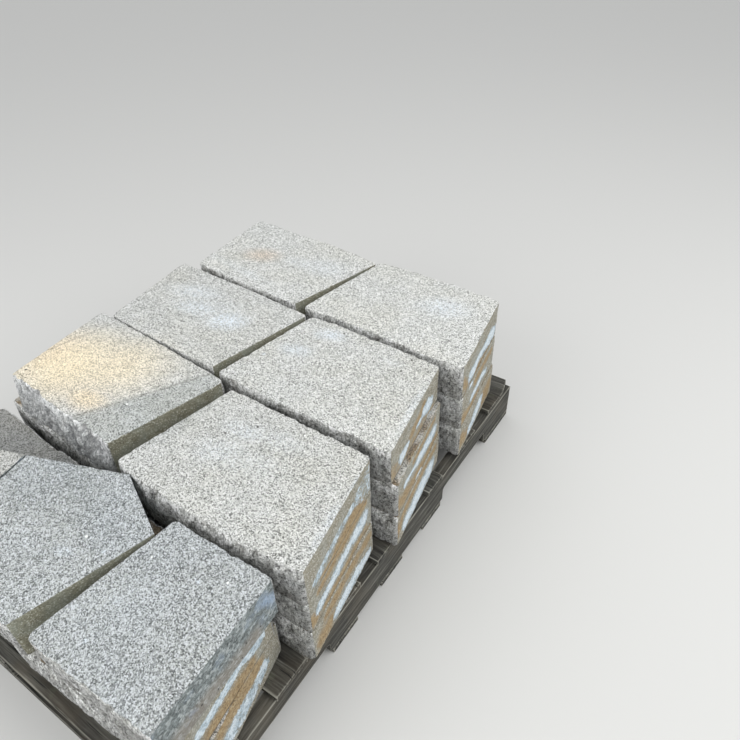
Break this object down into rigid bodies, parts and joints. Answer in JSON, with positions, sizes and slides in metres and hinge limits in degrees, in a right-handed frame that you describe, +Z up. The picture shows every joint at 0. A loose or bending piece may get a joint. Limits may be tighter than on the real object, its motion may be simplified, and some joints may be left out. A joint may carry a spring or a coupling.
{
  "type": "pallet of concrete cap stones",
  "caption": "Wooden stringer pallet loaded three high with split-face trapezoid concrete cap stones in two columns, with sawn pieces at one end.",
  "frame": {"origin": "on the ground plane under the pallet, at the middle of the whole object's footprint", "axes": "+Z up; +Y along the pallet's stringers, from the end with the cut stones to the other; +X to the right when looking along +Y"},
  "size_m": [1.0375, 1.219, 0.403],
  "materials": {
    "concrete": "dry-cast concrete, grainy, with split faces and streaked moulded sides",
    "wood": "weathered grey-brown softwood"
  },
  "bodies": {
    "root": {"base_board_1": "wood", "base_board_2": "wood", "base_board_3": "wood", "base_board_4": "wood", "base_board_5": "wood", "cap_left_row1_bottom": "concrete", "cap_left_row1_middle": "concrete", "cap_left_row1_top": "concrete", "cap_left_row2_bottom": "concrete", "cap_left_row2_middle": "concrete", "cap_left_row2_top": "concrete", "cap_left_row3_bottom": "concrete", "cap_left_row3_middle": "concrete", "cap_left_row3_top": "concrete", "cap_near_left_bottom": "concrete", "cap_near_left_middle": "concrete", "cap_near_left_top": "concrete", "cap_near_middle_top": "concrete", "cap_near_right_bottom": "concrete", "cap_near_right_middle": "concrete", "cap_near_right_top": "concrete", "cap_right_row1_bottom": "concrete", "cap_right_row1_middle": "concrete", "cap_right_row1_top": "concrete", "cap_right_row2_bottom": "concrete", "cap_right_row2_middle": "concrete", "cap_right_row2_top": "concrete", "cap_right_row3_bottom": "concrete", "cap_right_row3_middle": "concrete", "cap_right_row3_top": "concrete", "deck_board_1": "wood", "deck_board_2": "wood", "deck_board_3": "wood", "deck_board_4": "wood", "deck_board_5": "wood", "deck_board_6": "wood", "deck_board_7": "wood", "stringer_left": "wood", "stringer_middle": "wood", "stringer_right": "wood"}
  },
  "joints": []
}
